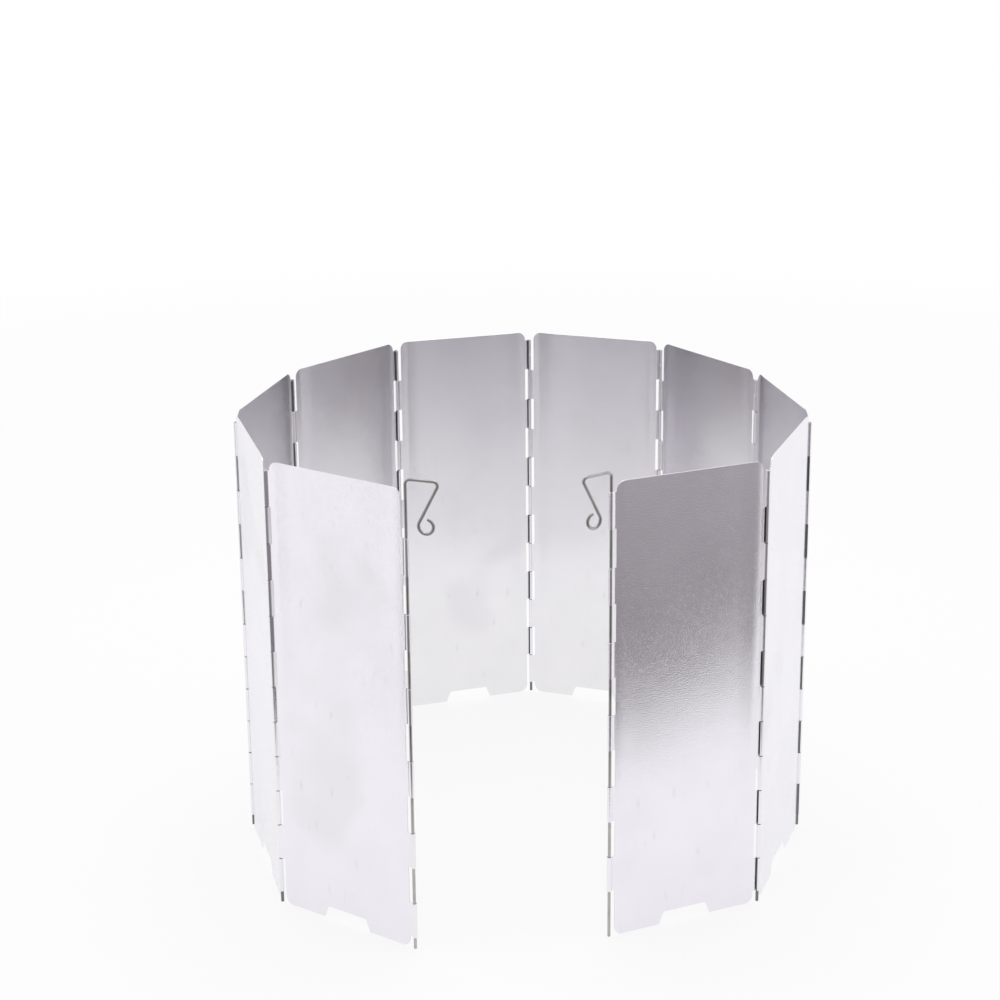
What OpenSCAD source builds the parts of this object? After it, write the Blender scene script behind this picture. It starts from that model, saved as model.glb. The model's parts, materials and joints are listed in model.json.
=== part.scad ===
// Folding camping windscreen, standing as an open ring.
// Ten sheet plates are joined edge to edge by rolled knuckles on wire pins.
// A bent wire ground stake slides in the knuckles of each free edge.

/* [Plates] */
// Height of a plate
plate_h = 240; // [200:1:260]
// Distance between the two wire axes of a plate
hinge_pitch = 84; // [70:0.5:95]
// Sheet thickness
sheet_t = 0.4; // [0.3:0.05:0.45]
// Radius of the four plate corners
corner_r = 4.5; // [2:0.5:6]
// Distance from a wire axis to the plate edge between two knuckles
edge_back = 2.8; // [2.7:0.1:3.6]

/* [Air notch] */
// Width of the notch at the bottom edge of the plate
notch_mouth_w = 28.5; // [24:0.5:40]
// Width of the notch at its top
notch_top_w = 23.5; // [12:0.5:24]
// Height of the notch
notch_h = 6.5; // [4:0.5:9]
// Radius of the two upper corners of the notch
notch_r = 1.2; // [0.5:0.1:2]

/* [Knuckles] */
// Wire diameter of pins and stakes
wire_d = 1.6; // [1.4:0.1:1.8]
// Radial play of a wire in a knuckle
wire_play = 0.05; // [0.02:0.01:0.09]
// Number of knuckles shared out over one hinge
slots = 12; // [8:2:16]
// Plate above the first knuckle
top_margin = 4.8; // [4:0.2:8]
// Plate below the last knuckle
bottom_margin = 6; // [4:0.2:8]
// Gap between two neighbouring knuckles
knuckle_gap = 0.4; // [0.3:0.05:0.8]
// Angle of the open seam in the roll
seam_a = 84; // [50:1:90]
// Depth of the crimp that holds a pin in the top knuckle
crimp_depth = 0.25; // [0.15:0.05:0.3]
// Ball radius of the crimp punch
crimp_r = 1.6; // [1:0.1:2.5]
// Distance of the crimp below the top of its knuckle
crimp_drop = 10; // [4:0.5:12]
// Distance of the pin end below the top of its knuckle
pin_recess = 0.6; // [0.2:0.1:2]
// Chamfer on the cut ends of the wire
wire_chamfer = 0.2; // [0.1:0.05:0.4]

/* [Ground stakes] */
// Height of the stake handle above the plates
stake_rise = 5; // [4.5:0.5:12]
// Bend radius at the top of the rod
stake_bend_r = 2.7; // [2:0.1:3.5]
// Reach of the handle from the rod
stake_reach = 16; // [14:0.5:22]
// Bend radius at the far end of the handle
stake_far_r = 2; // [1.5:0.1:2.5]
// Lean of the returning leg from upright
stake_lean = 27; // [18:1:30]
// Length of the returning leg
stake_leg = 20; // [14:0.5:22]
// Radius of the finger curl
stake_curl_r = 3.7; // [3.2:0.1:4.2]
// Turn of the finger curl
stake_curl_a = 285; // [200:5:290]
// Turn of the left handle towards the inside of the ring
left_turn = 14.5; // [-20:0.5:25]
// Turn of the right handle towards the outside of the ring
right_turn = 12; // [-20:0.5:25]

/* [Ring] */
// Direction of the first plate from its free edge
first_heading = 149.3; // [143:0.1:156]
// Fold between plates 1 and 2
fold_angle_1 = 39.8; // [20:0.1:50]
// Fold between plates 2 and 3
fold_angle_2 = 31.8; // [22:0.1:40]
// Fold between plates 3 and 4
fold_angle_3 = 27.4; // [20:0.1:34]
// Fold between plates 4 and 5
fold_angle_4 = 32.8; // [24:0.1:38]
// Fold between plates 5 and 6
fold_angle_5 = 34.3; // [26:0.1:40]
// Fold between plates 6 and 7
fold_angle_6 = 35.4; // [28:0.1:41]
// Fold between plates 7 and 8
fold_angle_7 = 23.9; // [16:0.1:30]
// Fold between plates 8 and 9
fold_angle_8 = 34.8; // [25:0.1:42]
// Fold between plates 9 and 10
fold_angle_9 = 46.2; // [30:0.1:56]

/* [Hidden] */
$fn = 64;
SHEET = [0.80, 0.80, 0.82];
PIN_WIRE = [0.42, 0.42, 0.44];
STAKE_WIRE = [0.62, 0.62, 0.64];
// Length by which joined solids run into each other and cuts run past the sheet
overlap = 1;
// Angle by which a bend laps into the straight wire
bend_lap = 3;
// Thinning of the wire in a bend
bend_thin = 0.01;

wire_r = wire_d / 2;
bore_r = wire_r + wire_play;
// Radius of the middle of the sheet in the roll, and of the roll's outside
roll_r = bore_r + sheet_t / 2;
barrel_r = bore_r + sheet_t;
// Reverse bend that brings the sheet to the roll: radius, distance back and direction
set_r = 1.5 * roll_r;
set_x = 2 * roll_r;
to_set = [-0.8, 0.6];
slot_h = (plate_h - top_margin - bottom_margin) / slots;
knuckle_h = slot_h - knuckle_gap;
knuckles_top = plate_h - top_margin - knuckle_gap / 2;
crimp_z = knuckles_top - crimp_drop;

notch_a = atan((notch_mouth_w - notch_top_w) / 2 / notch_h);
notch_cx = notch_top_w / 2 - notch_r * (1 - sin(notch_a)) / cos(notch_a);
notch_cz = notch_h - notch_r;

stake_z = plate_h + stake_rise;
far_x = stake_reach - stake_far_r;
far_z = stake_z - stake_far_r;
leg_x = far_x + stake_far_r * cos(stake_lean);
leg_z = far_z - stake_far_r * sin(stake_lean);
foot_x = leg_x - stake_leg * sin(stake_lean);
foot_z = leg_z - stake_leg * cos(stake_lean);
curl_x = foot_x + stake_curl_r * cos(stake_lean);
curl_z = foot_z - stake_curl_r * sin(stake_lean);

fold_angles = [
  fold_angle_1, fold_angle_2, fold_angle_3, fold_angle_4, fold_angle_5,
  fold_angle_6, fold_angle_7, fold_angle_8, fold_angle_9
];
plates = len(fold_angles) + 1;
function heading(k) = k == 1 ? first_heading : heading(k - 1) - fold_angles[k - 2];
function step_to(k) = hinge_pitch * [cos(heading(k)), sin(heading(k))];
function walk(k) = k == 0 ? [0, 0] : walk(k - 1) + step_to(k);
walked = [for (k = [0:plates]) walk(k)];
left_heading = heading(1) + 180 + left_turn;
right_heading = heading(plates) + right_turn;
xs = [for (p = walked) p[0]];
ys = [for (p = walked) p[1]];
left_front = walked[0][1] + stake_reach * sin(left_heading) - wire_r;
right_front = walked[plates][1] + stake_reach * sin(right_heading) - wire_r;
mid_x = (min(xs) + max(xs)) / 2;
mid_y = (min(left_front, right_front) + max(ys) + barrel_r) / 2;
function axis_at(k) = [walked[k][0] - mid_x, walked[k][1] - mid_y, 0];

// Blank of one plate, seen on its face: rounded corners and an air notch at the bottom
module plate_blank() {
  w = hinge_pitch - 2 * edge_back;
  difference() {
    translate([edge_back, 0])
      square([w, plate_h]);
    for (right = [0, 1], top = [0, 1])
      translate([edge_back + right * w, top * plate_h])
        mirror([right, 0])
          mirror([0, top])
            corner_waste();
    translate([hinge_pitch / 2, 0])
      air_notch();
  }
}

// Waste outside one rounded corner
module corner_waste() {
  difference() {
    translate([-overlap, -overlap])
      square(corner_r + overlap);
    translate([corner_r, corner_r])
      circle(corner_r);
  }
}

// Notch with leaning sides and rounded upper corners
module air_notch() {
  side_x = notch_cx + notch_r * cos(notch_a);
  side_z = notch_cz + notch_r * sin(notch_a);
  mouth = notch_mouth_w / 2;
  polygon([
    [-mouth, -overlap], [mouth, -overlap], [mouth, 0],
    [side_x, side_z], [notch_cx, notch_h],
    [-notch_cx, notch_h], [-side_x, side_z], [-mouth, 0]
  ]);
  for (side = [-1, 1])
    translate([side * notch_cx, notch_cz])
      circle(notch_r);
}

// Section of a rolled knuckle round a wire at the origin, its plate lying towards -X.
// The plate sets over by a reverse bend, a 3-4-5 triangle between the two bend centres.
module knuckle_section() {
  start_a = 180 - atan(0.6 / 0.8);
  far = 3 * barrel_r;
  difference() {
    circle(barrel_r);
    circle(bore_r);
    polygon([
      [0, 0],
      far * to_set,
      far * [cos(start_a + seam_a / 2), sin(start_a + seam_a / 2)],
      far * [cos(start_a + seam_a), sin(start_a + seam_a)]
    ]);
  }
  translate([-set_x, set_r])
    intersection() {
      difference() {
        circle(set_r + sheet_t / 2);
        circle(set_r - sheet_t / 2);
      }
      polygon([
        [0, 0],
        [0, -2 * set_r],
        [2 * set_r, -2 * set_r],
        -2 * set_r * to_set
      ]);
    }
  translate([-edge_back - overlap, -sheet_t / 2])
    square([edge_back + overlap - set_x, sheet_t]);
}

// Every second knuckle of an edge, counted from the top
module knuckle_row(first) {
  for (i = [first:2:slots])
    translate([0, 0, plate_h - top_margin - i * slot_h + knuckle_gap / 2])
      linear_extrude(knuckle_h)
        knuckle_section();
}

// One plate: odd knuckles on its leading edge, even ones on its trailing edge
module plate() {
  rotate([90, 0, 0])
    linear_extrude(sheet_t, center = true)
      plate_blank();
  translate([hinge_pitch, 0, 0])
    knuckle_row(1);
  rotate([0, 0, 180])
    knuckle_row(2);
}

// Punch mark in the top knuckle that grips the pin
module crimp() {
  translate([hinge_pitch, -barrel_r - crimp_r + crimp_depth, crimp_z])
    sphere(crimp_r);
}

// Plate k in its place in the ring
module set_plate(k) {
  color(SHEET)
    translate(axis_at(k - 1))
      rotate([0, 0, heading(k)])
        difference() {
          plate();
          if (k < plates) crimp();
        }
}

// Straight wire standing on the ground, its lower end chamfered
module rod(length) {
  cylinder(d1 = wire_d - 2 * wire_chamfer, d2 = wire_d, h = wire_chamfer);
  translate([0, 0, wire_chamfer])
    cylinder(d = wire_d, h = length - wire_chamfer);
}

// Pin of hinge k, held by the crimp of plate k
module set_pin(k) {
  color(PIN_WIRE)
    translate(axis_at(k))
      rod(knuckles_top - pin_recess);
}

// Bend in the wire, in the upright plane through the rod.
// The wire draws a little thinner there, and each end laps into the straight run it meets.
module wire_bend(x, z, r, from, sweep) {
  translate([x, 0, z])
    rotate([90, 0, 0])
      rotate([0, 0, from - bend_lap])
        rotate_extrude(angle = sweep + 2 * bend_lap)
          translate([r, 0])
            circle(r = wire_r - bend_thin);
}

// Ground stake along +Z, its handle reaching towards +X
module stake() {
  rod(stake_z - stake_bend_r);
  wire_bend(stake_bend_r, stake_z - stake_bend_r, stake_bend_r, 90, 90);
  translate([stake_bend_r, 0, stake_z])
    rotate([0, 90, 0])
      cylinder(d = wire_d, h = far_x - stake_bend_r);
  wire_bend(far_x, far_z, stake_far_r, -stake_lean, 90 + stake_lean);
  translate([leg_x, 0, leg_z])
    rotate([0, 180 + stake_lean, 0])
      cylinder(d = wire_d, h = stake_leg);
  wire_bend(curl_x, curl_z, stake_curl_r, 180 - stake_lean, stake_curl_a);
}

module panel_1() { set_plate(1); }
module panel_2() { set_plate(2); }
module panel_3() { set_plate(3); }
module panel_4() { set_plate(4); }
module panel_5() { set_plate(5); }
module panel_6() { set_plate(6); }
module panel_7() { set_plate(7); }
module panel_8() { set_plate(8); }
module panel_9() { set_plate(9); }
module panel_10() { set_plate(10); }
module hinge_pin_1() { set_pin(1); }
module hinge_pin_2() { set_pin(2); }
module hinge_pin_3() { set_pin(3); }
module hinge_pin_4() { set_pin(4); }
module hinge_pin_5() { set_pin(5); }
module hinge_pin_6() { set_pin(6); }
module hinge_pin_7() { set_pin(7); }
module hinge_pin_8() { set_pin(8); }
module hinge_pin_9() { set_pin(9); }

// Stake in the free edge of the first plate
module ground_stake_left() {
  color(STAKE_WIRE)
    translate(axis_at(0))
      rotate([0, 0, left_heading])
        stake();
}

// Stake in the free edge of the last plate
module ground_stake_right() {
  color(STAKE_WIRE)
    translate(axis_at(plates))
      rotate([0, 0, right_heading])
        stake();
}

panel_1();
panel_2();
panel_3();
panel_4();
panel_5();
panel_6();
panel_7();
panel_8();
panel_9();
panel_10();
hinge_pin_1();
hinge_pin_2();
hinge_pin_3();
hinge_pin_4();
hinge_pin_5();
hinge_pin_6();
hinge_pin_7();
hinge_pin_8();
hinge_pin_9();
ground_stake_left();
ground_stake_right();
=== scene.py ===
# Folding camping windscreen, set up as an open ring: ten rolled-edge aluminium plates,
# nine wire hinge pins and two wire ground stakes, each piece riding on its own CAD body.
import json
import math

import bpy
import numpy as np
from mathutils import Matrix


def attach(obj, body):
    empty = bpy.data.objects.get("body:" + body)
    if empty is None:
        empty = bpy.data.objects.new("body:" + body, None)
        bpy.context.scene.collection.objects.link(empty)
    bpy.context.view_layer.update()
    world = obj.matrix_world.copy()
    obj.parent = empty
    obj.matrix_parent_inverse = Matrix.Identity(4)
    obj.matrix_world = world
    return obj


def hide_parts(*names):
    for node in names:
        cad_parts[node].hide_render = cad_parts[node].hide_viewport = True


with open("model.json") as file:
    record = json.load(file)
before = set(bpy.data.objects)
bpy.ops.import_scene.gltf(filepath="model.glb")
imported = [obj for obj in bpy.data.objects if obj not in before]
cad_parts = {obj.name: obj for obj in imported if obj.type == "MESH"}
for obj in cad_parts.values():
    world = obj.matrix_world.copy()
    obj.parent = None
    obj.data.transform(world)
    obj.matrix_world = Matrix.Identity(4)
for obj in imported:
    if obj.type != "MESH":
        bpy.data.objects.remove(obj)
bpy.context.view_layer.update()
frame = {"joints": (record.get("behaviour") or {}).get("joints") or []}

# Plates. Each is one stamping of thin bare aluminium sheet, with rounded corners and an air
# notch in its bottom edge; its side tabs are rolled round the hinge wires, the odd ones on the
# leading edge with the seam inside the ring, the even ones on the trailing edge, seam outside.
MM = 0.001  # all lengths below are in millimetres
UV_UNIT = 100.0  # millimetres of surface to one UV unit
PLATE_H, SHEET_T = 240.0, 0.4
EDGE_BACK = 2.8  # from the hinge axis to the plate's straight edge
CORNER_R = 4.5
NOTCH_MOUTH, NOTCH_TOP, NOTCH_H, NOTCH_R = 28.5, 23.5, 6.5, 1.2
NOTCH_FADE_UP, NOTCH_FADE_OUT = 12.0, 9.0  # how far the grid gives way to the leaning sides
ROLL_R = 1.05  # of the sheet's middle plane round the wire
SET_R, SET_X, SET_TURN = 1.5 * ROLL_R, 2.0 * ROLL_R, math.atan2(0.8, 0.6)  # the reverse bend
SEAM, SEAM_VARY = 84.0, 12.0  # degrees left open, and how much that differs between slots
SLOTS, TOP_MARGIN, BOTTOM_MARGIN, KNUCKLE_GAP = 12, 4.8, 6.0, 0.4
CRIMP_R, CRIMP_DEPTH, CRIMP_DROP = 1.6, 0.25, 10.0  # punch mark in the top leading knuckle
BURR = 0.07  # chamfer along the cut edges
CROWN, FREE_CROWN, CROWN_W = 0.22, 0.07, 7.0  # raised strip at a hinge edge, a free edge; width
BOW, BOW_FADE, BOW_COUNT = 0.1, 12.0, 9
ROLL_STEPS, SET_STEPS, CORNER_STEPS, FILLET_STEPS, KNUCKLE_STEPS = 36, 6, 5, 4, 4
CRIMP_STEPS, CRIMP_SPAN = 14, 1.05  # extra rows of the grid, to this far above and below the mark
SHARP_EDGE = math.radians(32)

axes = {j["name"]: np.array(j["pos_m"][:2]) / MM for j in frame["joints"]}
hinges = [f"fold_{k}" for k in range(1, 10)]
ring = np.array([axes[name] for name in ["stake_left_slide", *hinges, "stake_right_slide"]])
PITCH = float(np.linalg.norm(ring[1] - ring[0]))
LEAD_EDGE = PITCH - EDGE_BACK
slot_h = (PLATE_H - TOP_MARGIN - BOTTOM_MARGIN) / SLOTS
root_len = EDGE_BACK - SET_X
set_len = SET_R * SET_TURN
roll_len = ROLL_R * math.radians(360 - SEAM)
crimp_z = PLATE_H - TOP_MARGIN - KNUCKLE_GAP / 2 - CRIMP_DROP
notch_lean = math.atan2((NOTCH_MOUTH - NOTCH_TOP) / 2, NOTCH_H)
notch_cx = NOTCH_TOP / 2 - NOTCH_R * (1 - math.sin(notch_lean)) / math.cos(notch_lean)


def slot_at(z):
    """Number of the knuckle slot at height z, counted from 0 at the top."""
    return np.floor((PLATE_H - TOP_MARGIN - z) / slot_h).astype(int)


def rolled(s, z):
    """Centre line and normal of a tab after rolling, s along the flat blank from the plate's edge,
    with the hinge axis at the origin: straight, a reverse bend about (-SET_X, SET_R), then the
    roll about the axis, which closes a little more or less from slot to slot."""
    uneven = np.sin(2.4 * slot_at(z) + 0.9)
    closing = 1 - SEAM_VARY / (360 - SEAM) * uneven
    bend = np.clip(s - root_len, 0, set_len) / SET_R - math.pi / 2
    turn = np.clip(s - root_len - set_len, 0, None) / ROLL_R * closing
    roll = math.pi / 2 + SET_TURN - turn
    in_roll = s > root_len + set_len
    x = np.where(in_roll, ROLL_R * np.cos(roll), SET_R * np.cos(bend) - SET_X)
    y = np.where(in_roll, ROLL_R * np.sin(roll), SET_R * np.sin(bend) + SET_R)
    x = np.where(s < root_len, s - EDGE_BACK, x)
    nx = np.where(in_roll, np.cos(roll), -np.cos(bend))
    ny = np.where(in_roll, np.sin(roll), -np.sin(bend))
    return x, y, nx, ny


def formed(b, z, h, bow, crowns):
    """A point of the stamping, from b and z on the flat blank and h off its middle plane. Tabs
    follow the roll. The flat between them is raised by bow, which dies out at the hinge edges,
    and by a parabola across a strip beside each edge; crowns holds its height at the leading edge
    and at the trailing edge."""
    lead, trail = b - LEAD_EDGE, EDGE_BACK - b
    x1, y1, nx1, ny1 = rolled(np.maximum(lead, 0), z)
    x2, y2, nx2, ny2 = rolled(np.maximum(trail, 0), z)
    inside = np.maximum(np.minimum(-lead, -trail), 0)
    away = np.clip(inside / BOW_FADE, 0, 1)
    strips = [np.clip(-edge / CROWN_W, 0, 1) for edge in (lead, trail)]
    raised = sum(4 * crown * s * (1 - s) for crown, s in zip(crowns, strips))
    flat = h + bow * away * away * (3 - 2 * away) + raised
    x = np.where(lead > 0, PITCH + x1 + h * nx1, np.where(trail > 0, -x2 + h * nx2, b))
    y = np.where(lead > 0, y1 + h * ny1, np.where(trail > 0, -y2 + h * ny2, flat))
    return np.stack([x, y, z], axis=1)


def grid_lines():
    """Columns and rows of the blank's grid. A line lies on every straight edge of the outline,
    and more of them where a corner is rounded, a tab is rolled or the crimp is pressed in."""
    bend = root_len + set_len * np.arange(SET_STEPS + 1) / SET_STEPS
    roll = root_len + set_len + roll_len * np.arange(1, ROLL_STEPS + 1) / ROLL_STEPS
    tab = np.concatenate([bend, roll])
    corner = CORNER_R * np.linspace(0, 1, CORNER_STEPS + 1)
    flat_half = PITCH / 2 - EDGE_BACK
    notch_top = NOTCH_MOUTH / NOTCH_TOP * np.linspace(notch_cx, NOTCH_TOP / 2, FILLET_STEPS + 1)
    beside = np.linspace(NOTCH_MOUTH / 2, flat_half - CORNER_R, 6)
    half = np.concatenate([[0, 4, 8], notch_top, beside, flat_half - corner])
    columns = [PITCH / 2 - half, PITCH / 2 + half, EDGE_BACK - tab, LEAD_EDGE + tab]
    low = BOTTOM_MARGIN + KNUCKLE_GAP / 2 + slot_h * np.arange(SLOTS)
    knuckle = low[:, None] + (slot_h - KNUCKLE_GAP) * np.linspace(0, 1, KNUCKLE_STEPS + 1)
    fillet = NOTCH_R * (1 - math.sin(notch_lean)) * np.linspace(0, 1, FILLET_STEPS + 1)
    pressed = crimp_z + CRIMP_SPAN * np.linspace(-1, 1, CRIMP_STEPS + 1)
    rows = [corner, PLATE_H - corner, NOTCH_H - fillet, knuckle.ravel(), pressed]
    return (np.unique(np.concatenate(lines).round(5)) for lines in (columns, rows))


def cut_to_shape(b, z, on_rim):
    """Moves grid points on the flat so that square corners become round: a corner patch by the
    square-to-disc map u sqrt(1 - v v / 2), the notch by leaning its sides and then pulling its
    rim points onto the two fillet circles."""
    far_b, far_z = np.abs(b - PITCH / 2), np.abs(z - PLATE_H / 2)
    side_b, side_z = np.sign(b - PITCH / 2), np.sign(z - PLATE_H / 2)
    start_b, start_z = PITCH / 2 - EDGE_BACK - CORNER_R, PLATE_H / 2 - CORNER_R
    u, v = (far_b - start_b) / CORNER_R, (far_z - start_z) / CORNER_R
    patch = (u >= 0) & (v >= 0) & (far_b <= start_b + CORNER_R + 1e-4)
    disc_b = start_b + CORNER_R * u * np.sqrt(1 - np.minimum(v * v, 1) / 2)
    disc_z = start_z + CORNER_R * v * np.sqrt(1 - np.minimum(u * u, 1) / 2)
    above = np.clip(1 - (z - NOTCH_H) / NOTCH_FADE_UP, 0, 1)
    beyond = np.clip(1 - (far_b - NOTCH_MOUTH / 2) / NOTCH_FADE_OUT, 0, 1)
    lean = (NOTCH_MOUTH - NOTCH_TOP) / 2 * np.minimum(z / NOTCH_H, above)
    pull = np.minimum(far_b / (NOTCH_MOUTH / 2), beyond)
    new_b = np.where(patch, disc_b, far_b - lean * pull)
    new_z = PLATE_H / 2 + side_z * np.where(patch, disc_z, far_z)
    db, dz = new_b - notch_cx, new_z - (NOTCH_H - NOTCH_R)
    r, turned = np.hypot(db, dz), np.arctan2(dz, db)
    round_it = on_rim & (r > NOTCH_R) & (r < 2 * NOTCH_R)
    round_it &= (turned > notch_lean) & (turned < math.pi / 2)
    new_b = np.where(round_it, notch_cx + NOTCH_R * db / r, new_b)
    new_z = np.where(round_it, NOTCH_H - NOTCH_R + NOTCH_R * dz / r, new_z)
    return np.stack([PITCH / 2 + side_b * new_b, new_z], axis=1)


def sheet_cells(columns, rows):
    """Mask of the grid's cells that lie on the sheet: the flat without the notch, every second
    slot's tab on the leading edge and the other slots' tabs on the trailing edge."""
    b, z = np.meshgrid((columns[1:] + columns[:-1]) / 2, (rows[1:] + rows[:-1]) / 2)
    slot = slot_at(z)
    in_slot = (PLATE_H - TOP_MARGIN - z) - slot * slot_h
    tab = (slot >= 0) & (slot < SLOTS)
    tab &= (in_slot > KNUCKLE_GAP / 2) & (in_slot < slot_h - KNUCKLE_GAP / 2)
    lead, trail = b > LEAD_EDGE, b < EDGE_BACK
    notch = (np.abs(b - PITCH / 2) < NOTCH_MOUTH / 2) & (z < NOTCH_H)
    return ~(lead | trail | notch) | (tab & np.where(slot % 2 == 0, lead, trail))


def blank_mesh():
    """The blank as a closed thin solid in (b, z, h): the sheet's cells on both of its faces, and
    round every cut edge a wall with a small burr chamfer. Returns points, quads and a mask each
    of the cut edges and of the face that turns outward."""
    columns, rows = grid_lines()
    b, z = (g.ravel() for g in np.meshgrid(columns, rows))
    ids = np.arange(len(b)).reshape(len(rows), len(columns))
    corners = np.stack([ids[:-1, :-1], ids[:-1, 1:], ids[1:, 1:], ids[1:, :-1]], -1)
    kept, cells = np.unique(corners[sheet_cells(columns, rows)], return_inverse=True)
    cells = cells.reshape(-1, 4)
    m = len(kept)
    # A directed cell edge with no opposite twin is a cut edge, with the sheet on its left.
    start, end = cells.ravel(), np.roll(cells, -1, 1).ravel()
    cut = ~np.isin(start * m + end, end * m + start)
    start, end = start[cut], end[cut]
    n = len(start)
    on_rim = np.zeros(m, bool)
    on_rim[start] = True
    flat = cut_to_shape(b[kept], z[kept], on_rim)
    step = flat[end] - flat[start]
    left = np.stack([-step[:, 1], step[:, 0]], 1) / np.linalg.norm(step, axis=1)[:, None]
    inward = np.zeros((m, 2))
    np.add.at(inward, start, left)
    np.add.at(inward, end, left)
    # Two summed unit normals over half their squared length move both edges in by one unit.
    inward /= np.maximum((inward * inward).sum(1) / 2, 0.4)[:, None]
    face, half, lip = flat + BURR * inward, SHEET_T / 2, SHEET_T / 2 - BURR
    levels = [(face, -half), (face, half), (flat[start], -lip), (flat[start], lip)]
    points = np.concatenate([np.column_stack([p, np.full(len(p), h)]) for p, h in levels])
    rim_at = np.zeros(m, int)
    rim_at[start] = 2 * m + np.arange(n)
    p, q = rim_at[start], rim_at[end]
    across = [(start, end), (p, q), (n + p, n + q), (m + start, m + end)]
    walls = [np.stack([f0, g0, g1, f1], 1) for (f0, f1), (g0, g1) in zip(across, across[1:])]
    quads = np.concatenate([cells, cells[:, ::-1] + m, *walls])
    part = np.repeat([0, 1, 2], [m, m, 2 * n])
    return points, quads, {"cut": part == 2, "outer": part == 1}


def oil_canning(b, z, draw):
    """Shallow hills and hollows of the flat sheet: a sum of Gaussians, each with a random centre,
    width, height and rise of at most BOW."""
    least, most = [10, 20, 12, 20, -BOW], [74, 220, 34, 70, BOW]
    at_b, at_z, wide, tall, rise = draw.uniform(least, most, (BOW_COUNT, 5)).T
    near = ((b[:, None] - at_b) / wide) ** 2 + ((z[:, None] - at_z) / tall) ** 2
    return (rise * np.exp(-near)).sum(1)


def crimped(xyz):
    """Presses a ball into the outer skin of the top leading knuckle, from inside the ring: a point
    within the ball moves along the roll's radius to the ball's surface."""
    outer = ROLL_R + SHEET_T / 2
    radial = xyz[:, :2] - [PITCH, 0]
    r = np.linalg.norm(radial, axis=1)
    n = radial / np.maximum(r, 1e-9)[:, None]
    d = xyz - [PITCH, -outer - CRIMP_R + CRIMP_DEPTH, crimp_z]
    room = CRIMP_R**2 - (d * d).sum(1)
    dn = np.abs((d[:, :2] * n).sum(1))
    deep = np.sqrt(np.maximum(dn**2 + room, 0)) - dn
    on_skin = np.abs(r - outer) < 0.02
    moved = np.where((room > 0) & on_skin, deep, 0)[:, None] * n
    return xyz - np.pad(moved, ((0, 0), (0, 1)))


def new_piece(name, points, faces, uv, marks, material, body, node):
    """Puts arrays into a mesh object with a UV map and named values per point, ties it to the body
    it moves with, hides the CAD node it stands for and gives it the material."""
    mesh = bpy.data.meshes.new(name)
    mesh.from_pydata((points * MM).tolist(), [], [f for group in faces for f in group.tolist()])
    corner = np.zeros(len(mesh.loops), np.int32)
    mesh.loops.foreach_get("vertex_index", corner)
    layer = mesh.uv_layers.new(name="UVMap")
    layer.data.foreach_set("uv", uv[corner].astype(np.float32).ravel())
    for mark, amount in marks.items():
        values = mesh.attributes.new(mark, "FLOAT", "POINT")
        values.data.foreach_set("value", amount.astype(np.float32))
    mesh.shade_smooth()
    mesh.set_sharp_from_angle(angle=SHARP_EDGE)
    mesh.materials.append(material)
    piece = bpy.data.objects.new(name, mesh)
    bpy.context.scene.collection.objects.link(piece)
    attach(piece, body)
    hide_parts(node)


class Socket:
    """One output of a shader node. Sums and products of sockets add Math nodes to its tree."""

    def __init__(self, tree, socket):
        self.tree, self.socket = tree, socket

    def make(self, kind, settings=(), inputs=(), out=0):
        """Adds any other node: first its settings, then a value or a link for each input."""
        node = self.tree.nodes.new("ShaderNode" + kind)
        for name, value in dict(settings).items():
            setattr(node, name, value)
        for name, value in dict(inputs).items():
            if isinstance(value, Socket):
                self.tree.links.new(value.socket, node.inputs[name])
            else:
                node.inputs[name].default_value = value
        return Socket(self.tree, node.outputs[out])

    def math(self, operation, first, second):
        """Adds a Math node of two values."""
        return self.make("Math", {"operation": operation}, {0: first, 1: second})

    def __add__(self, other):
        return self.math("ADD", self, other)

    def __sub__(self, other):
        return self.math("SUBTRACT", self, other)

    def __rsub__(self, other):
        return self.math("SUBTRACT", other, self)

    def __mul__(self, other):
        return self.math("MULTIPLY", self, other)

    __radd__, __rmul__ = __add__, __mul__


def eased(value, low, high, bottom=0.0, top=1.0):
    """Bottom where the value is below low, top where it is above high, and a smooth step between."""
    inputs = {0: value, 1: low, 2: high, 3: bottom, 4: top}
    return value.make("MapRange", {"interpolation_type": "SMOOTHSTEP"}, inputs)


def mixed(factor, first, second):
    """A colour between two, each a Socket or an RGB triple. A Mix node's colours are its inputs 6
    and 7 and its output 2."""
    ends = [c if isinstance(c, Socket) else (*c, 1) for c in (first, second)]
    return factor.make("Mix", {"data_type": "RGBA"}, {0: factor, 6: ends[0], 7: ends[1]}, 2)


def noise(at, scale, detail, roughness=0.5):
    """Noise at a coordinate, scaled along each axis where scale is a triple."""
    if isinstance(scale, tuple):
        at, scale = at.make("Mapping", {}, {"Vector": at, "Scale": scale}), 1.0
    inputs = {"Vector": at, "Scale": scale, "Detail": detail, "Roughness": roughness}
    return at.make("TexNoise", {}, inputs)


def new_finish(name):
    """A metal with one Principled shader. Returns it, its Object and UV coordinates, and a function
    that links a Socket to a named input of the shader."""
    material = bpy.data.materials.new(name)
    material.use_nodes = True
    tree = material.node_tree
    shader = next(n for n in tree.nodes if n.type == "BSDF_PRINCIPLED")
    shader.inputs["Metallic"].default_value = 1.0
    coords = tree.nodes.new("ShaderNodeTexCoord")
    place, flat = Socket(tree, coords.outputs["Object"]), Socket(tree, coords.outputs["UV"])

    def feed(socket, value):
        tree.links.new(value.socket, shader.inputs[socket])

    return material, place, flat, feed


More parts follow.
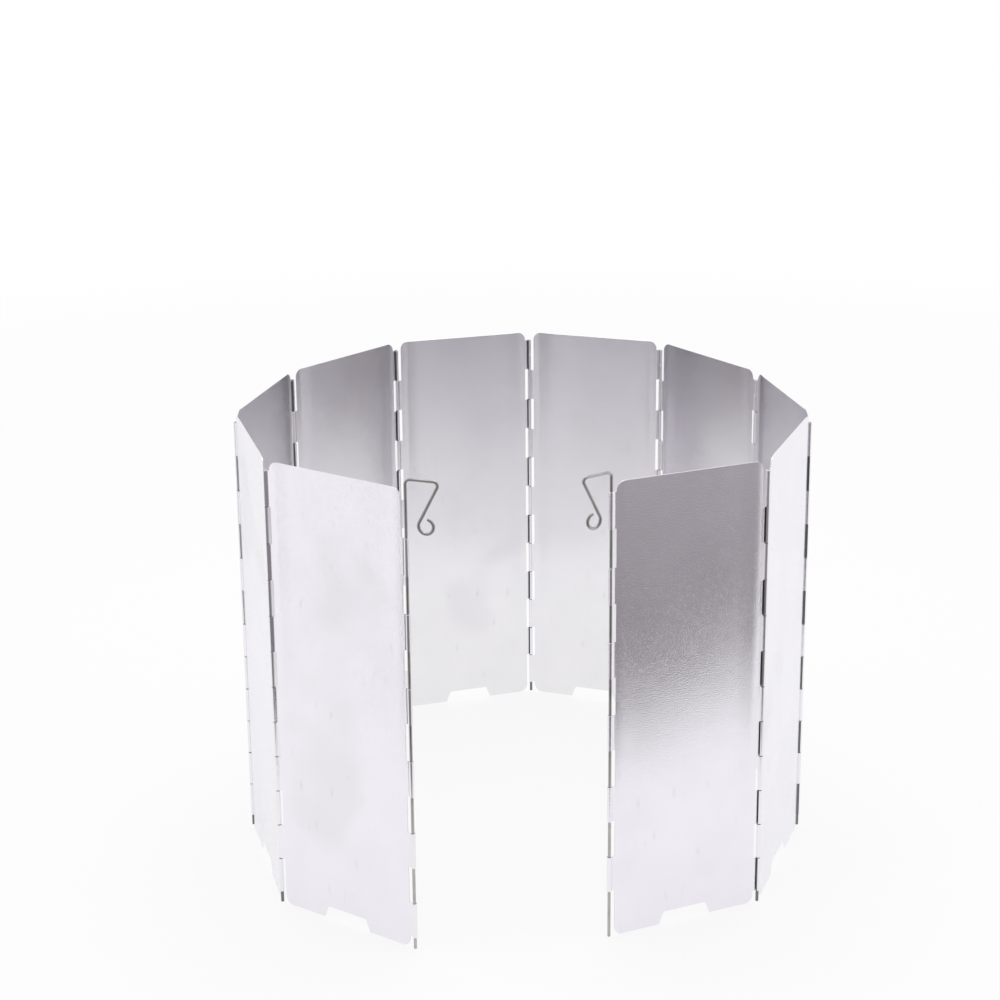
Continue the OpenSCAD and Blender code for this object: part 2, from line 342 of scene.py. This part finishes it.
def sheet_finish():
    """Bare mill-finish aluminium, bluer, glossier and deeper grained on the outer face than on the
    inner one, with soft mottling, faint smudges and upright scuffs from handling, and rougher cut
    edges whose colour is made paler as a painted highlight. Output 2 of an Attribute node is its
    plain value."""
    material, place, flat, feed = new_finish("plate_aluminium")
    grain = noise(flat, (185.0, 165.0, 1.0), 1.0)
    mottle = noise(place, 38.0, 4.0, 0.55)
    smudge = eased(noise(place, 14.0, 2.0), 0.56, 0.74)
    scuff = eased(noise(flat, (24.0, 9.0, 1.0), 1.0), 0.64, 0.82)
    cut = place.make("Attribute", {"attribute_name": "cut"}, {}, 2)
    outer = place.make("Attribute", {"attribute_name": "outer"}, {}, 2)
    tone = mottle * 1.3 + grain * 0.6 - 0.45
    worn = smudge * 0.5 + scuff * 0.4
    inside = mixed(tone, (0.846, 0.835, 0.859), (0.916, 0.903, 0.93))
    outside = mixed(tone, (0.852, 0.834, 0.885), (0.922, 0.902, 0.956))
    bare = mixed(outer, inside, outside)
    handled = mixed(worn, bare, (0.80, 0.788, 0.815))
    # The cut edges are mixed toward a paler colour: a painted highlight along the sheet's edges.
    feed("Base Color", mixed(cut * 0.8, handled, (0.93, 0.92, 0.945)))
    rough = 0.12 - 0.05 * outer + 0.07 * mottle + 0.15 * worn + 0.05 * grain + 0.13 * cut
    feed("Roughness", rough)
    relief = grain * (0.8 + 2.9 * outer) + mottle * 2.5
    bump = {"Strength": 1.0, "Distance": 0.00002, "Height": relief}
    feed("Normal", place.make("Bump", {}, bump))
    return material


blank, blank_quads, blank_marks = blank_mesh()
aluminium = sheet_finish()
for k in range(1, 11):
    bow = oil_canning(blank[:, 0], blank[:, 1], np.random.default_rng(40 + k))
    crowns = (CROWN if k < 10 else FREE_CROWN, CROWN if k > 1 else FREE_CROWN)
    local = formed(*blank.T, bow, crowns)
    if k < 10:
        local = crimped(local)
    along = (ring[k] - ring[k - 1]) / PITCH
    across = np.array([-along[1], along[0]])
    plan = ring[k - 1] + local[:, :1] * along + local[:, 1:2] * across
    new_piece(
        f"plate_{k}", np.column_stack([plan, local[:, 2]]), [blank_quads], blank[:, :2] / UV_UNIT,
        blank_marks, aluminium, f"leaf_{k}", f"panel_{k}",
    )

# Hinge pins. Straight drawn steel wire through the knuckles of two plates, cut square with a
# small chamfer, standing level with the plates' feet and held by the crimp in the top knuckle.
WIRE_R, PIN_TOP, CHAMFER = 0.8, 234.4, 0.2
AROUND = 24
END_GIRTH = [WIRE_R - 1.5 * CHAMFER, WIRE_R - CHAMFER]


def tube(path, normal, binormal, radius):
    """A round wire: a circle of the given radius at each point of a path, carried by its normal
    and binormal, with a flat closed end at both ends. Returns points, faces and UV."""
    a = np.linspace(0, 2 * math.pi, AROUND, endpoint=False)
    radius = radius[:, None, None]
    rings = path[:, None] + radius * np.cos(a)[None, :, None] * normal[:, None]
    rings = rings + radius * np.sin(a)[None, :, None] * binormal[:, None]
    rows = len(path)
    ids = np.arange(rows * AROUND).reshape(rows, AROUND)
    beside = np.roll(ids, -1, 1)
    quads = np.stack([ids[:-1], beside[:-1], beside[1:], ids[1:]], -1).reshape(-1, 4)
    start, end = np.full(AROUND, rows * AROUND), np.full(AROUND, rows * AROUND + 1)
    caps = [np.stack([start, beside[0], ids[0]], 1), np.stack([end, ids[-1], beside[-1]], 1)]
    points = np.concatenate([rings.reshape(-1, 3), path[:1], path[-1:]])
    run = np.concatenate([[0], np.cumsum(np.linalg.norm(np.diff(path, axis=0), axis=1))])
    run, turn = run / UV_UNIT, a / (2 * math.pi)
    uv = np.stack(np.broadcast_arrays(run[:, None], turn[None]), -1).reshape(-1, 2)
    return points, [quads, *caps], np.concatenate([uv, [[0, 0], [run[-1], 0]]])


def wire_finish(name, light, dark, rough):
    """Drawn steel wire: long die lines under a patchy dull film."""
    material, place, flat, feed = new_finish(name)
    lines = noise(flat, (6.0, 40.0, 1.0), 3.0, 0.6)
    film = noise(place, 160.0, 4.0, 0.6)
    feed("Base Color", mixed(film, dark, light))
    feed("Roughness", rough + 0.14 * film + 0.08 * lines)
    bump = {"Strength": 0.6, "Distance": 0.00002, "Height": lines + 0.5 * film}
    feed("Normal", place.make("Bump", {}, bump))
    return material


pin_steel = wire_finish("pin_steel", (0.26, 0.26, 0.265), (0.14, 0.14, 0.145), 0.26)
shank = np.linspace(4, PIN_TOP - 4, 30)
pin_z = np.concatenate([[0, 0, CHAMFER], shank, [PIN_TOP - CHAMFER, PIN_TOP, PIN_TOP]])
pin_girth = np.full(len(pin_z), WIRE_R)
pin_girth[:2], pin_girth[-2:] = END_GIRTH, END_GIRTH[::-1]
level = np.ones((len(pin_z), 1))
for k in range(1, 10):
    path = level * [*ring[k], 0] + pin_z[:, None] * [0, 0, 1]
    points, faces, uv = tube(path, level * [1, 0, 0], level * [0, 1, 0], pin_girth)
    new_piece(
        f"pin_{k}", points, faces, uv, {}, pin_steel, f"leaf_{k}", f"hinge_pin_{k}"
    )

# Ground stakes. Bright steel wire pushed down through the knuckles of the two free edges, bent
# over at the top into a handle: a level run, a sharp return bend, a slanted leg and a finger curl.
STAKE_Z, BEND_R, REACH, FAR_R = 245.0, 2.7, 16.0, 2.0
LEAN, LEG, CURL_R, CURL_TURN = math.radians(27), 20.0, 3.7, math.radians(285)
LEFT_TURN, RIGHT_TURN = math.radians(14.5), math.radians(12)
STAKE_R = WIRE_R - 0.01


def stake_path():
    """The stake's centre line in its upright plane, as (u, z) with the tangent's angle: straight
    runs joined by arcs, each arc a constant turn per step. A stretch is (length or radius, turn,
    steps)."""
    stretches = [
        (STAKE_Z - BEND_R, 0, 40),
        (BEND_R, -math.pi / 2, 12),
        (REACH - FAR_R - BEND_R, 0, 6),
        (FAR_R, -(math.pi / 2 + LEAN), 16),
        (LEG, 0, 8),
        (CURL_R, CURL_TURN, 40),
    ]
    size, turn, steps = np.array(stretches).T
    steps = steps.astype(int)
    turns = np.repeat(turn / steps, steps)
    lengths = np.repeat(np.where(turn == 0, size, np.abs(turn) * size) / steps, steps)
    heading = math.pi / 2 + np.concatenate([[0], np.cumsum(turns)])
    middle = heading[:-1] + turns / 2
    chord = lengths * np.sinc(turns / 2 / math.pi)
    u = np.concatenate([[0], np.cumsum(chord * np.cos(middle))])
    z = np.concatenate([[0], np.cumsum(chord * np.sin(middle))])
    return u, z, heading


stake_steel = wire_finish("stake_steel", (0.56, 0.555, 0.545), (0.33, 0.325, 0.32), 0.1)
u, z, heading = stake_path()
last = len(u) - 1
doubled = np.concatenate([[0, 0, 0], np.arange(1, last + 1), [last, last]])
u, z, heading = u[doubled][:, None], z[doubled][:, None], heading[doubled][:, None]
z[2] = CHAMFER
stake_girth = np.full(len(u), STAKE_R)
stake_girth[:2], stake_girth[-2:] = END_GIRTH, END_GIRTH[::-1]
edges = {
    "left": (ring[0], ring[0] - ring[1], LEFT_TURN),
    "right": (ring[10], ring[10] - ring[9], RIGHT_TURN),
}
for side, (foot, edge, turn) in edges.items():
    way = math.atan2(edge[1], edge[0]) + turn
    out = np.array([math.cos(way), math.sin(way), 0])
    flank = np.array([-math.sin(way), math.cos(way), 0])
    path = np.array([*foot, 0]) + u * out + z * [0, 0, 1]
    normal = np.sin(heading) * out - np.cos(heading) * [0, 0, 1]
    points, faces, uv = tube(path, normal, np.ones_like(u) * flank, stake_girth)
    new_piece(
        f"stake_{side}", points, faces, uv, {}, stake_steel,
        f"stake_{side}", f"ground_stake_{side}",
    )

# Floor, light and camera. A pale table top that ends in front and fades out into a white backdrop
# elsewhere, soft light from all round that is weaker on the camera's side, and the camera.
FLOOR_Z = -0.0002
FADE_NEAR, FADE_FAR = 1.0, 1.6
EDGE_NEAR, EDGE_FAR = 0.262, 0.31
WHITENED = 0.85  # share of plain white in the table as seen directly and in reflections
DIM_SIDE = (0.035, -0.9994, 0.0)
DIM_TINT = (1.0, 0.955, 0.99)
IS_CAMERA, IS_GLOSSY = 0, 3  # outputs of Light Path

floor_mesh = bpy.data.meshes.new("floor")
floor_plan = [(-3, -2), (2, -2), (2, 3), (-3, 3)]
floor_mesh.from_pydata([(x, y, FLOOR_Z) for x, y in floor_plan], [], [(0, 1, 2, 3)])
floor = bpy.data.objects.new("floor", floor_mesh)
bpy.context.scene.collection.objects.link(floor)
table = bpy.data.materials.new("table_top")
table.use_nodes = True
floor_mesh.materials.append(table)
tree = table.node_tree
tree.nodes.clear()
spot = Socket(tree, tree.nodes.new("ShaderNodeTexCoord").outputs["Object"])
reach = spot.make("VectorMath", {"operation": "LENGTH"}, {0: spot}, 1)
ahead = spot.make("VectorMath", {"operation": "DOT_PRODUCT"}, {0: spot, 1: (0, -1, 0)}, 1)
fade = spot.math("MAXIMUM", eased(reach, FADE_NEAR, FADE_FAR), eased(ahead, EDGE_NEAR, EDGE_FAR))
shown = spot.make("LightPath", {}, {}, IS_CAMERA)
mirrored = spot.make("LightPath", {}, {}, IS_GLOSSY)
whiter = spot.math("MAXIMUM", shown, mirrored) * WHITENED
paint = spot.make("BsdfDiffuse", {}, {"Color": (0.95, 0.95, 0.955, 1)})
white = spot.make("Emission", {}, {"Color": (1, 1, 1, 1), "Strength": 1.0})
bright = spot.make("MixShader", {}, {0: whiter, 1: paint, 2: white})
clear = spot.make("BsdfTransparent")
top = spot.make("MixShader", {}, {0: fade, 1: bright, 2: clear})
end = tree.nodes.new("ShaderNodeOutputMaterial")
tree.links.new(top.socket, end.inputs["Surface"])

world = bpy.data.worlds.new("studio")
world.use_nodes = True
bpy.context.scene.world = world
tree = world.node_tree
background = next(n for n in tree.nodes if n.type == "BACKGROUND")
way = Socket(tree, tree.nodes.new("ShaderNodeTexCoord").outputs["Generated"])
toward = way.make("VectorMath", {"operation": "DOT_PRODUCT"}, {0: way, 1: DIM_SIDE}, 1)
height = way.make("VectorMath", {"operation": "DOT_PRODUCT"}, {0: way, 1: (0, 0, 1)}, 1)
front = eased(toward, 0.39, 0.505)
dusk = eased(height, -0.41, -0.3, 0.73, 0.56)
core = eased(toward, 0.74, 0.9, 0.0, 0.13)
# Seen directly the backdrop is plain white, while the plates mirror the weaker light.
seen = way.make("LightPath", {}, {}, IS_CAMERA)
dim = 1 - front * (dusk + core)
strength = seen + (1 - seen) * dim
tint = mixed(front - front * seen, (1, 1, 1), DIM_TINT)
tree.links.new(strength.socket, background.inputs["Strength"])
tree.links.new(tint.socket, background.inputs["Color"])

lamp_data = bpy.data.lights.new("top_light", "AREA")
lamp_data.shape, lamp_data.size, lamp_data.energy = "DISK", 0.5, 1.2
lamp = bpy.data.objects.new("top_light", lamp_data)
lamp.location = (0, 0.03, 0.95)
bpy.context.scene.collection.objects.link(lamp)

camera_data = bpy.data.cameras.new("camera")
camera_data.lens, camera_data.sensor_width = 66.87, 36.0
camera_data.shift_x, camera_data.shift_y = -0.07, -0.18
camera = bpy.data.objects.new("camera", camera_data)
camera.location = (0.02503, -0.96321, 0.5256)
camera.rotation_euler = (math.radians(90 - 14.031), 0, 0)
bpy.context.scene.collection.objects.link(camera)
bpy.context.scene.camera = camera
bpy.context.scene.view_settings.view_transform = "Standard"
